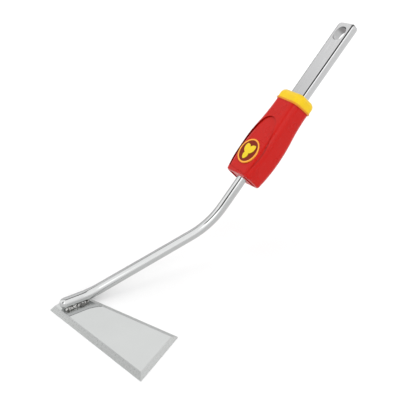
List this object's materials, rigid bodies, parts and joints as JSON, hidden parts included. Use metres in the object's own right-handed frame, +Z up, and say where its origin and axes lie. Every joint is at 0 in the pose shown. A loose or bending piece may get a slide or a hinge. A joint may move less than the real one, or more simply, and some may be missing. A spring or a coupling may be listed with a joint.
{
  "type": "stand_up_weeder_head",
  "caption": "Click-in stand-up weeding hoe head: a bent chromed shank with a bevelled steel blade, a red moulded grip with a yellow collar and a flat tang for a long handle",
  "frame": {"origin": "On the blade's flat underside, below the middle of the shank's welded foot.", "axes": "The blade lies flat on Z = 0 with +Z up. The shank and handle line lie in the plane Y = 0 and rise towards +X. The blade reaches out to -Y."},
  "size_m": [0.3652, 0.1519, 0.2679],
  "materials": {
    "polished_steel": "mirror polished, ground bevels",
    "chrome_bar": "bright chrome plate",
    "satin_steel": "satin plated",
    "red_plastic": "moulded, semi-gloss",
    "yellow_plastic": "moulded, semi-gloss",
    "amber_plastic": "moulded, semi-gloss",
    "dark_red_plastic": "moulded, matt"
  },
  "bodies": {
    "root": {"blade": "polished_steel", "shank": "chrome_bar", "foot_weld_near": "chrome_bar", "foot_weld_far": "chrome_bar", "tang": "satin_steel", "tang_welds": "satin_steel", "grip": "red_plastic", "collar": "yellow_plastic", "grip_pin": "satin_steel", "badge_field": "dark_red_plastic", "badge_ring": "amber_plastic", "badge_leaf": "yellow_plastic"}
  },
  "joints": []
}
